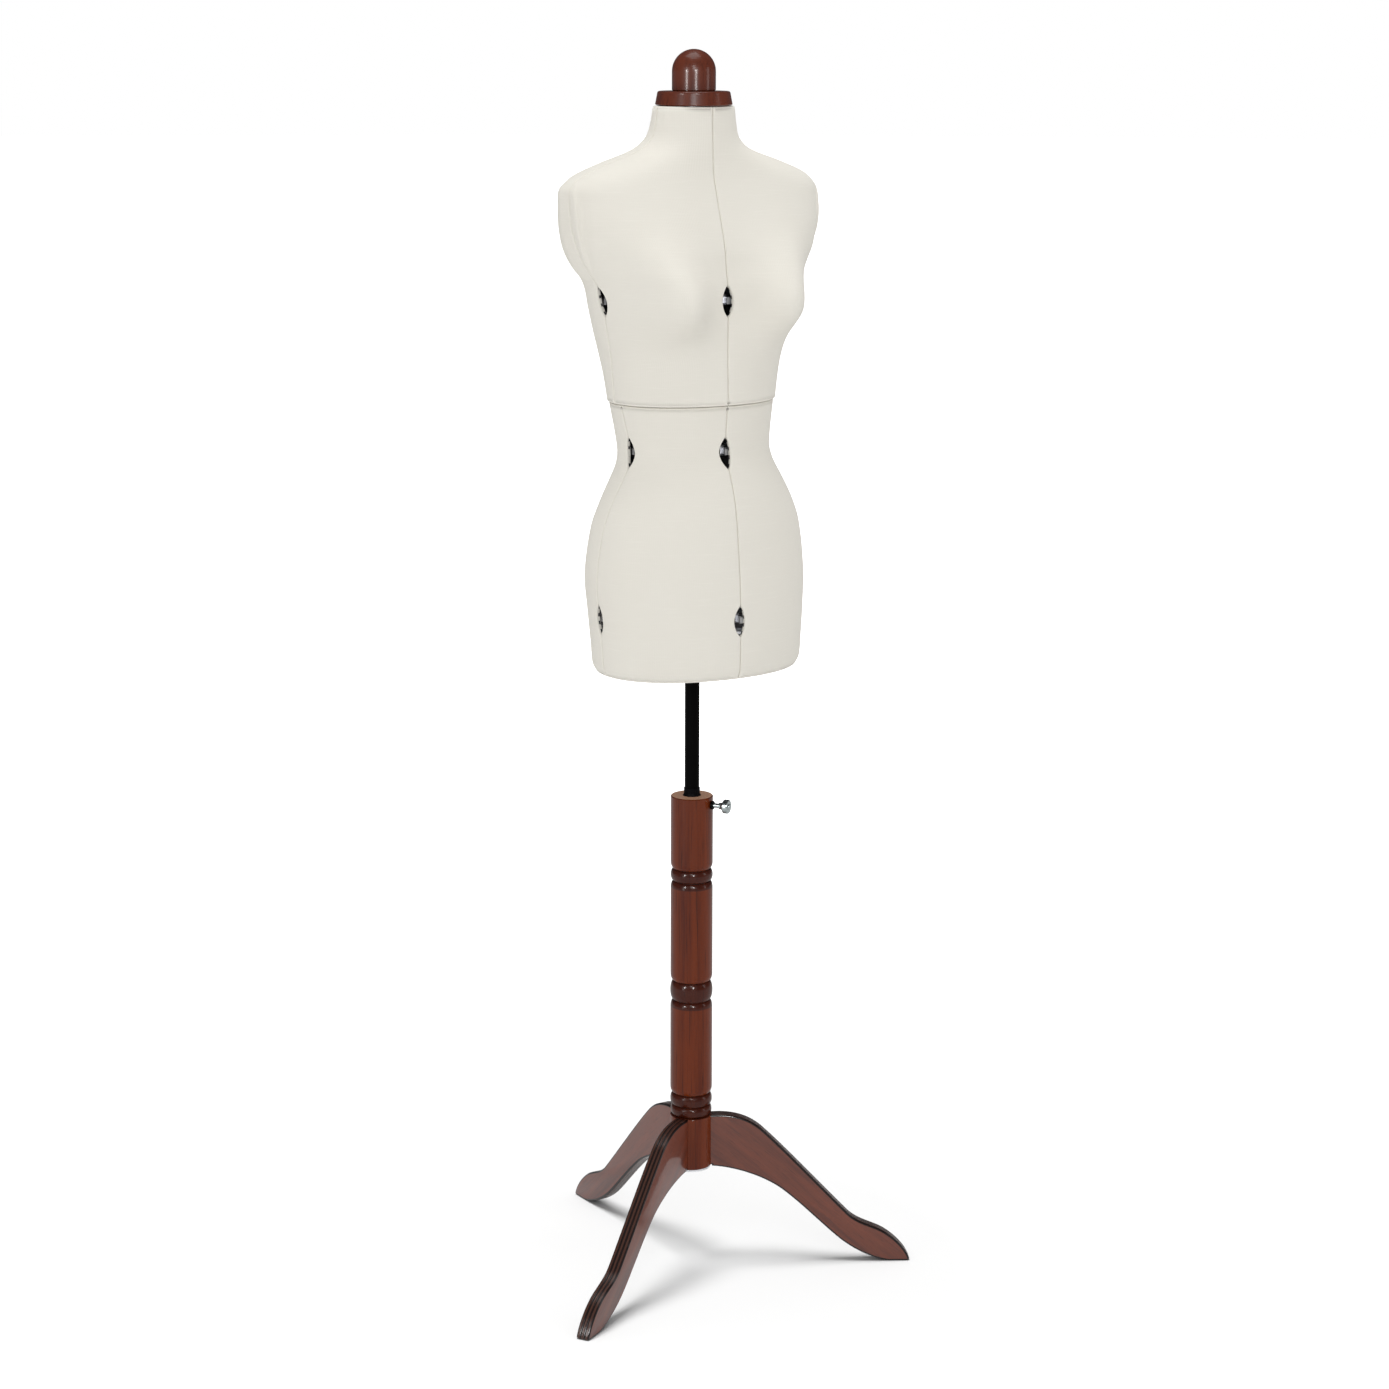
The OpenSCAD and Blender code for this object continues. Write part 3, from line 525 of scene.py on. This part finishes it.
def armhole_relief(points):
    """Height of the cloth over the skin round the end of the arm stump: a raised rim and a valley."""
    x, y, z = points[..., 0], points[..., 1], points[..., 2]
    oval_depth, oval_height = ARM_OVAL["half_depth"], ARM_OVAL["half_height"]
    u, v = (y - ARM_OVAL["y"]) / oval_depth, (z - ARM_OVAL["z"]) / oval_height
    e = np.sqrt(u**2 + v**2)
    steep = np.sqrt((u / oval_depth) ** 2 + (v / oval_height) ** 2) / np.maximum(e, 1e-3)
    away = (e - 1) / steep
    step = np.clip((RIM["foot"] - away) / RIM["slope"], 0, 1)
    rim = RIM["height"] * step * step * (3 - 2 * step)
    under = np.clip((UNDER_ARM["top"] - z) / UNDER_ARM["span"], 0, 1)
    beyond = away - VALLEY["middle"]
    width = np.where(beyond < 0, VALLEY["rim_side"], VALLEY["chest_side"] - VALLEY["narrowing"] * under)
    valley = VALLEY["depth"] * hill(beyond, width)
    fade_top = np.clip((SHOULDER_FADE["top"] - z) / SHOULDER_FADE["span"], 0, 1)
    fade_in = np.clip((x - CHEST_FADE["x"]) / CHEST_FADE["span"], 0, 1)
    return (rim - valley) * fade_top * fade_in


def pull_relief(across, z, wheels):
    """Low ridges where the cloth is pulled at the two ends of each opening."""
    total = np.zeros_like(z + across)
    for w in wheels:
        for side, reach in ((1, PULL["reach_above"]), (-1, PULL["reach_below"])):
            end = w + side * PULL["from_wheel"]
            ridge = PULL["height"] * hill(z - end, PULL["half_width"])
            total = total + ridge * hill(across, reach)
    return total


def panel_rows(upper):
    """Heights of a panel's rows between its hem profiles, closer together at the openings."""
    wheels = WHEEL_HEIGHTS["upper" if upper else "lower"]
    low = WAIST_Z + WAIST_GAP / 2 if upper else HEM_Z
    high = NECK_Z if upper else WAIST_Z - WAIST_GAP / 2
    inset = CLOTH_OUTSIDE[-1][0]
    plain = np.linspace(low + inset, high - inset, int((high - low) / ROW_STEP))
    near = [w + np.linspace(-1, 1, OPENING_ROWS) * OPENING_HEIGHT / 2 for w in wheels]
    rows = np.concatenate(near)
    for more in (FINE_ROWS if upper else [], plain):
        rows = np.concatenate([rows, [z for z in more if min(abs(z - rows)) > LEAST_ROW_STEP]])
    return low, high, np.sort(rows)


def tight_fold(distances):
    """Distances from the waist edge, where the cloth folds more sharply and the two tiers nearly meet."""
    fold_end = CLOTH_OUTSIDE[-1][0]
    return distances * np.where(distances < 0, 1.8, np.where(distances < fold_end, 0.5, 1))


def cover_layer(upper, front, openings, edge_profile, body_depth):
    """Points of one face of a left-hand cover, with its edges turned round the shell's edges."""
    table = UPPER_SECTIONS if upper else LOWER_SECTIONS
    wheels = WHEEL_HEIGHTS["upper" if upper else "lower"]
    low, high, inner_rows = panel_rows(upper)
    edge = np.array(edge_profile, float)
    plain_fold, waist_fold = edge[:, 0], tight_fold(edge[:, 0])
    low_fold, high_fold = (waist_fold, plain_fold) if upper else (plain_fold, waist_fold)
    z = np.concatenate([low + low_fold, inner_rows, high - high_fold[::-1]])
    row_depth = np.concatenate([edge[:, 1], np.full(len(inner_rows), body_depth), edge[::-1, 1]])
    z, row_depth = z[:, None], row_depth[:, None]
    centre = edge_gap(z, wheels, openings[0])
    side = edge_gap(z, wheels, openings[1])
    seam_y = smooth(z, table, 5)

    def centre_angle(distance):
        found = angle_at_x(centre + distance, z, table)
        return -found if front else found

    def side_angle(distance):
        return angle_at_y(seam_y - side - distance if front else seam_y + side + distance, z, table)

    first, last = centre_angle(edge[-1, 0]), side_angle(edge[-1, 0])
    share = np.linspace(0, 1, PANEL_COLUMNS + 2)[None, 1:-1]
    between = first + (last - first) * share
    angle = np.concatenate([centre_angle(edge[None, :, 0]), between, side_angle(edge[None, ::-1, 0])], axis=1)
    column_depth = np.concatenate([edge[:, 1], np.full(PANEL_COLUMNS, body_depth), edge[::-1, 1]])[None]
    z_grid = z + 0 * angle
    surface = skin(angle, z_grid, table)
    normal = outward(angle, z_grid, table)
    # Along a hem the depth is level, and along a seam it is in the seam's plane
    count = len(edge)
    flat = normal.copy()
    flat[:, :count, 0] = 0
    flat[:, -count:, 1] = 0
    flat[:count, :, 2] = 0
    flat[-count:, :, 2] = 0
    depth = np.maximum(row_depth, column_depth)
    if body_depth == 0:
        # The outer face alone carries the relief, which eases in from the seams
        ease = np.clip((np.arange(PANEL_COLUMNS) + 1) / EASE_COLUMNS, 0, 1)
        inside = np.pad(np.minimum(ease, ease[::-1]), count)[None]
        from_centre = surface[..., 0] - centre
        from_side = np.abs(surface[..., 1] - seam_y) - side
        relief = pull_relief(from_centre, z_grid, wheels) + pull_relief(from_side, z_grid, wheels)
        if upper:
            relief = relief + armhole_relief(surface)
        depth = depth - relief * inside
    points = surface - depth[..., None] * unit(flat)
    widths = np.linalg.norm(np.diff(surface, axis=1), axis=-1)
    across = np.concatenate([np.zeros((len(z), 1)), np.cumsum(widths, axis=1)], axis=1)
    uv = np.stack([across, z_grid], -1) * MM
    return points, uv


def build_cover(upper, front, left):
    """Cover of one panel, closed round its rim. The right-hand ones mirror the left-hand shape."""
    tier, face = "upper" if upper else "lower", "front" if front else "back"
    body = f"{tier}_{face}_{'left' if left else 'right'}"
    # A centre wheel sits on the front right or the back left panel, and a side wheel on a front one
    carries_centre = front != left
    openings = [
        OPENING_DEEP if carries_centre else OPENING_SHALLOW,
        OPENING_SHALLOW + (RIM_ROOM if front else 0),
    ]
    outer, uv = cover_layer(upper, front, openings, CLOTH_OUTSIDE, 0)
    inner, _ = cover_layer(upper, front, openings, CLOTH_INSIDE, CLOTH_THICKNESS)
    rows, columns = outer.shape[:2]
    flip = left != front
    points = np.concatenate([outer.reshape(-1, 3), inner.reshape(-1, 3)])
    if not left:
        points = points * (-1, 1, 1)
    count = rows * columns
    ring = border(rows, columns)
    rim = [[a, b, b + count, a + count] for a, b in zip(ring, ring[1:] + ring[:1])]
    rim = [f if flip else f[::-1] for f in rim]
    faces = [*grid_faces(rows, columns, 0, flip), *grid_faces(rows, columns, count, not flip), *rim]
    piece = add_piece(f"cloth_{body}", points, faces, [cloth], uv=np.tile(uv.reshape(-1, 2), (2, 1)))
    place(piece, body, "cream_cloth", f"{body}_cover")


# ---------------------------------------------------------------- legs
VENEER, PLY_EDGE = 0, 1
CURVE_STEPS_DEG = (0, 18, 36, 54, 72, 90)


def bezier(a, b, c, d, steps):
    u = np.linspace(0, 1, steps, endpoint=False)[:, None]
    a, b, c, d = (np.array(p, float) for p in (a, b, c, d))
    return a * (1 - u) ** 3 + 3 * b * (1 - u) ** 2 * u + 3 * c * (1 - u) * u**2 + d * u**3


def leg_outline():
    """Outline of a leg as (distance from the column's axis, height), clockwise from the tenon."""
    r, hub = LEG_REACH, COLUMN_R + 0.3
    return np.concatenate([
        [[TENON_START, HUB_BOTTOM + 1], [TENON_START, TENON_TOP]],
        bezier((COLUMN_R - 1, TENON_TOP), (r - 238, 210), (r - 215, 204), (r - 195, 184), 24),
        bezier((r - 195, 184), (r - 168, 159), (r - 106, 91), (r - 82, 67), 24),
        bezier((r - 82, 67), (r - 67, 53), (r - 50, 51.5), (r - 34, 41.5), 16),
        bezier((r - 34, 41.5), (r - 18, 31), (r - 5, 17), (r, 3), 18),
        bezier((r, 3), (r, 1), (r - 1.5, 0), (r - 4, 0), 6),
        [[r - 4, 0], [r - 15, 0]],
        bezier((r - 27, 0), (r - 49, 3), (r - 75, 16), (r - 96, 34), 20),
        bezier((r - 96, 34), (r - 120, 55), (r - 147, 84), (r - 173, 104), 20),
        bezier((r - 173, 104), (r - 197, 122), (r - 235, 135), (hub, 137), 20),
        [[hub, 137], [hub, HUB_BOTTOM + 1]],
    ])


def leg_inset(t):
    """How far the leg's rim is inside its outline at distance t from the plate's middle plane."""
    over = np.maximum(abs(t) - (LEG_THICKNESS / 2 - EDGE_ROUND), 0)
    rounded = EDGE_ROUND - math.sqrt(max(EDGE_ROUND**2 - over**2, 0))
    groove = max(1 - abs(t - line) / GROOVE_HALF_WIDTH for line in PLY_LINES)
    return rounded + GROOVE_DEPTH * max(groove, 0)


def build_leg(place_name, degrees):
    """Plywood leg with rounded edges, fine grooves at the glue lines, and flat veneered faces."""
    outline = leg_outline()
    ahead = np.roll(outline, -1, axis=0) - outline
    behind = outline - np.roll(outline, 1, axis=0)
    tangent = unit(unit(ahead) + unit(behind))
    inward = np.stack([tangent[:, 1], -tangent[:, 0]], -1)
    half = LEG_THICKNESS / 2
    curve = [half - EDGE_ROUND * (1 - math.sin(a)) for a in np.radians(CURVE_STEPS_DEG)]
    lines = [line + d for line in PLY_LINES for d in (-GROOVE_HALF_WIDTH, 0, GROOVE_HALF_WIDTH)]
    stations = np.unique(np.round(curve + [-c for c in curve] + lines, 4))
    turn = math.radians(degrees)
    points, count = [], len(outline)
    for t in stations:
        out, up = (outline + inward * leg_inset(t)).T
        x = out * math.cos(turn) - t * math.sin(turn)
        y = out * math.sin(turn) + t * math.cos(turn)
        points.append(np.stack([x, y, up], -1))
    length = np.concatenate([[0], np.cumsum(np.linalg.norm(ahead, axis=1))])
    faces, kinds, corner_uv = [], [], []
    for k in range(len(stations) - 1):
        for j in range(count):
            m = (j + 1) % count
            faces.append([k * count + j, (k + 1) * count + j, (k + 1) * count + m, k * count + m])
            kinds.append(PLY_EDGE)
            corners = ((j, k), (j, k + 1), (j + 1, k + 1), (j + 1, k))
            corner_uv += [(length[a] * MM, stations[b] * MM) for a, b in corners]
    low, high = list(range(count)), list(range((len(stations) - 1) * count, len(stations) * count))
    for face, shift in ((low, 0), (high[::-1], 1)):
        faces.append(face)
        kinds.append(VENEER)
        corner_uv += [(outline[i % count, 0] * MM + shift, outline[i % count, 1] * MM) for i in face]
    name = f"leg_{place_name}"
    piece = add_piece(
        f"{name}_plywood", np.concatenate(points), faces, [leg_face, ply_edge],
        face_materials=kinds, corner_uv=corner_uv,
    )
    return place(sharpen(piece, 50), "stand", "plywood", name)


# ---------------------------------------------------------------- adjusters
# Hub, web and rim of a wheel, as (place on the axis from the seam's plane, radius)
WHEEL_PROFILE = np.array([
    (-9, 3.02), (-9, 6.4), (-8.7, 7), (-8, 7.4), (-8, 15.4), (-8.4, 16), (-8.9, 16.8), (-9, 18),
    (-8.85, 19.2), (-8.3, 20.1), (-7.4, 20.5), (-4.6, 20.5), (-3.7, 20.1), (-3.15, 19.2), (-3, 18),
    (-3.1, 16.8), (-3.6, 16), (-4, 15.4), (-4, 7.4), (-3.3, 7), (-3, 6.4), (-3, 3.02),
])
WHEEL_SEGMENTS, FLUTES, FLUTE_DEPTH, FLUTE_START_R, FLUTE_FADE = 240, 20, 1, 18, 2
# The screw is plain where it passes through the wheel and at its far end, and threaded between
SPINDLE_START, THREAD_START, THREAD_END, SPINDLE_END = -14, -2.6, 53, 56
SPINDLE_R, SPINDLE_SEGMENTS, PLAIN_RELIEF = 3, 28, 0.1
THREAD_DEPTH, THREAD_LEAD, STEPS_PER_LEAD = 0.55, 5, 8
# Half the crest's flat and the flank's length, as shares of the lead
THREAD_CREST, THREAD_FLANK = 0.14, 0.16


def wheel_frame(tier, z, spot):
    """Place of a wheel's axis on the seam's plane, and its turn about Z in degrees."""
    table = UPPER_SECTIONS if tier == "upper" else LOWER_SECTIONS
    heights = np.array([float(z)])
    if spot == "front":
        return (0, skin(np.array([-math.pi / 2]), heights, table)[0, 1] + WHEEL_DEPTH), 0
    if spot == "back":
        return (0, skin(np.array([math.pi / 2]), heights, table)[0, 1] - WHEEL_DEPTH), 180
    seam = smooth(heights, table, 5)
    x = skin(angle_at_y(seam, heights, table), heights, table)[0, 0] - WHEEL_DEPTH
    return (x if spot == "left" else -x, seam[0]), 90


def turned_rings(x, r, angle, where, turn, z):
    """Rings of points round the X axis, turned about Z and moved to a wheel's place."""
    a = math.radians(turn)
    x, y = x + 0 * angle, r * np.cos(angle)
    moved = [
        where[0] + x * math.cos(a) - y * math.sin(a),
        where[1] + x * math.sin(a) + y * math.cos(a),
        z + r * np.sin(angle),
    ]
    return np.stack(moved, -1).reshape(-1, 3)


def full_turn(segments):
    return np.linspace(0, 2 * math.pi, segments, endpoint=False)


def build_wheel(level, z, tier, spot):
    """Fluted black wheel, and the zinc screw that it turns."""
    where, turn = wheel_frame(tier, z, spot)
    body = f"{level}_wheel_{spot}"

    angle = full_turn(WHEEL_SEGMENTS)[None]
    x, r = WHEEL_PROFILE[:, :1], WHEEL_PROFILE[:, 1:]
    fade = np.clip((r - FLUTE_START_R) / FLUTE_FADE, 0, 1)
    r = r - FLUTE_DEPTH * np.maximum(np.cos(FLUTES * angle), 0) ** 2 * fade
    faces = grid_faces(len(x), WHEEL_SEGMENTS, 0, True, True).tolist()
    last = (len(x) - 1) * WHEEL_SEGMENTS
    for j in range(WHEEL_SEGMENTS):
        k = (j + 1) % WHEEL_SEGMENTS
        faces.append([k, j, last + j, last + k])
    wheel = add_piece(f"{body}_rim", turned_rings(x, r, angle, where, turn, z), faces, [black_plastic])
    place(sharpen(wheel, 45), body, "black_plastic", body)

    angle = full_turn(SPINDLE_SEGMENTS)[None]
    steps = int((SPINDLE_END - SPINDLE_START) / THREAD_LEAD * STEPS_PER_LEAD)
    x = np.linspace(SPINDLE_START, SPINDLE_END, steps + 1)[:, None]
    phase = (x / THREAD_LEAD + angle / (2 * math.pi)) % 1
    groove = np.clip((abs(phase - 0.5) - THREAD_CREST) / THREAD_FLANK, 0, 1)
    plain = (x < THREAD_START) | (x > THREAD_END)
    r = SPINDLE_R - THREAD_DEPTH * np.where(plain, PLAIN_RELIEF, groove)
    faces = grid_faces(len(x), SPINDLE_SEGMENTS, 0, True, True).tolist()
    last = (len(x) - 1) * SPINDLE_SEGMENTS
    faces += [list(range(SPINDLE_SEGMENTS)), list(range(last, last + SPINDLE_SEGMENTS))[::-1]]
    screw = add_piece(f"{body}_screw", turned_rings(x, r, angle, where, turn, z), faces, [zinc])
    place(sharpen(screw, 45), body, "zinc_steel")


# ---------------------------------------------------------------- stage, camera and lights
FLOOR_RADIUS, FLOOR_CORNERS = 40000, 64


def build_stage():
    """White floor. The camera sees it brighter than the object does, and glowing far from the stand."""
    made = bpy.data.materials.new("white_floor")
    made.use_nodes = True
    n = Nodes(made)
    seen = n.add("ShaderNodeLightPath").outputs["Is Camera Ray"]
    white = n.mix(seen, (0.34, 0.34, 0.34, 1), (0.44, 0.44, 0.44, 1))
    diffuse = n.add("ShaderNodeBsdfDiffuse", Color=white)
    length = n.add("ShaderNodeVectorMath", {"operation": "LENGTH"}, i0=n.coords.outputs["Object"])
    away = length.outputs["Value"]
    glow = n.math("MULTIPLY", seen, n.rescale(away, 0, 1, 0.35, 3))
    glow = n.math("ADD", glow, n.rescale(away, 0, 0.3, 0.7, 3.2))
    emission = n.add("ShaderNodeEmission", Color=(1, 1, 1, 1), Strength=glow)
    both = n.add("ShaderNodeAddShader", i0=diffuse.outputs[0], i1=emission.outputs[0])
    n.link(both.outputs[0], n.tree.nodes["Material Output"].inputs["Surface"])
    n.tree.nodes.remove(n.shader)
    ring = [(FLOOR_RADIUS * math.cos(a), FLOOR_RADIUS * math.sin(a), 0) for a in full_turn(FLOOR_CORNERS)]
    floor = add_piece("floor", ring, [list(range(FLOOR_CORNERS))], [made], smooth_shade=False)
    return floor


def area_light(name, place_m, aim_m, size_m, watts):
    data = bpy.data.lights.new(name, "AREA")
    data.shape = "RECTANGLE"
    data.size, data.size_y = size_m
    data.energy = watts
    lamp = bpy.data.objects.new(name, data)
    bpy.context.scene.collection.objects.link(lamp)
    lamp.location = place_m
    lamp.rotation_mode = "QUATERNION"
    lamp.rotation_quaternion = (Vector(aim_m) - Vector(place_m)).to_track_quat("-Z", "Y")
    return lamp


def build_world():
    """White to the camera, pale grey as a light, and a darker studio in reflections."""
    world = bpy.data.worlds.new("studio")
    bpy.context.scene.world = world
    world.use_nodes = True
    tree = world.node_tree
    background = tree.nodes["Background"]
    background.inputs["Strength"].default_value = 1
    path = tree.nodes.new("ShaderNodeLightPath")
    below = tree.nodes.new("ShaderNodeRGB").outputs[0]
    below.default_value = (0.6, 0.6, 0.6, 1)
    for ray, shade in (("Is Glossy Ray", (0.1, 0.1, 0.105, 1)), ("Is Camera Ray", (1, 1, 1, 1))):
        layer = tree.nodes.new("ShaderNodeMix")
        layer.data_type = "RGBA"
        tree.links.new(path.outputs[ray], layer.inputs[0])
        tree.links.new(below, layer.inputs[6])
        layer.inputs[7].default_value = shade
        below = layer.outputs[2]
    tree.links.new(below, background.inputs["Color"])
    bpy.context.scene.view_settings.view_transform = "Standard"


def build_camera():
    """The photo's view: from the form's right in front, and from above, aimed at the stand's axis."""
    data = bpy.data.cameras.new("camera")
    data.sensor_width = 36
    data.lens = 81.54
    data.shift_x = 0.00166
    data.clip_end = 200
    camera = bpy.data.objects.new("camera", data)
    bpy.context.scene.collection.objects.link(camera)
    distance_m, aim_height_m = 4.05, 0.776
    turn, down, roll = math.radians(32.3), math.radians(12.2), math.radians(0.16)
    back = Vector((-math.sin(turn) * math.cos(down), -math.cos(turn) * math.cos(down), math.sin(down)))
    camera.location = Vector((0, 0, aim_height_m)) + back * distance_m
    camera.rotation_mode = "QUATERNION"
    facing = (-back).to_track_quat("-Z", "Y").to_matrix()
    camera.rotation_quaternion = (facing @ Matrix.Rotation(roll, 3, "Z")).to_quaternion()
    bpy.context.scene.camera = camera


def build_lights():
    """Soft studio lights, and two that only show as highlights on the lacquer."""
    area_light("key", (-1.9, -3.0, 2.8), (0, 0, 1.0), (0.9, 1.8), 33)
    area_light("fill", (2.6, -2.4, 1.5), (0, 0, 0.9), (0.7, 1.8), 11.5)
    area_light("top", (0, 0.1, 4.2), (0, 0, 0), (2, 2), 35)
    area_light("low_left", (-2.6, -0.6, 0.7), (0, 0, 0.7), (0.5, 0.9), 6)
    for name, place_m in (("sparkle_left", (-3.6, -1.3, 1.9)), ("sparkle_right", (-1.4, -3.7, 1.9))):
        sparkle = area_light(name, place_m, (0, 0, 0.5), (0.5, 1.0), 70)
        sparkle.visible_diffuse = False


def build_floor_light(floor, casters):
    """High lamp that lights only the floor, where the legs shade it."""
    lamp = area_light("floor_wash", (-1.0, 0.2, 6), (0, 0, 0), (2.3, 2.3), 560)
    for role, members in (("receiver", [floor]), ("blocker", casters)):
        group = bpy.data.collections.new(f"floor_wash_{role}")
        for member in members:
            group.objects.link(member)
        setattr(lamp.light_linking, f"{role}_collection", group)


build_camera()
build_world()
build_lights()
white_floor = build_stage()
dress_cad_nodes()
for upper in (False, True):
    for front in (True, False):
        for left in (True, False):
            build_cover(upper, front, left)
legs = [build_leg(spot_name, degrees) for spot_name, degrees in LEG_ANGLES.items()]
build_floor_light(white_floor, legs)
for level, z, tier in WHEELS:
    for spot in ("front", "left", "back", "right"):
        build_wheel(level, z, tier, spot)
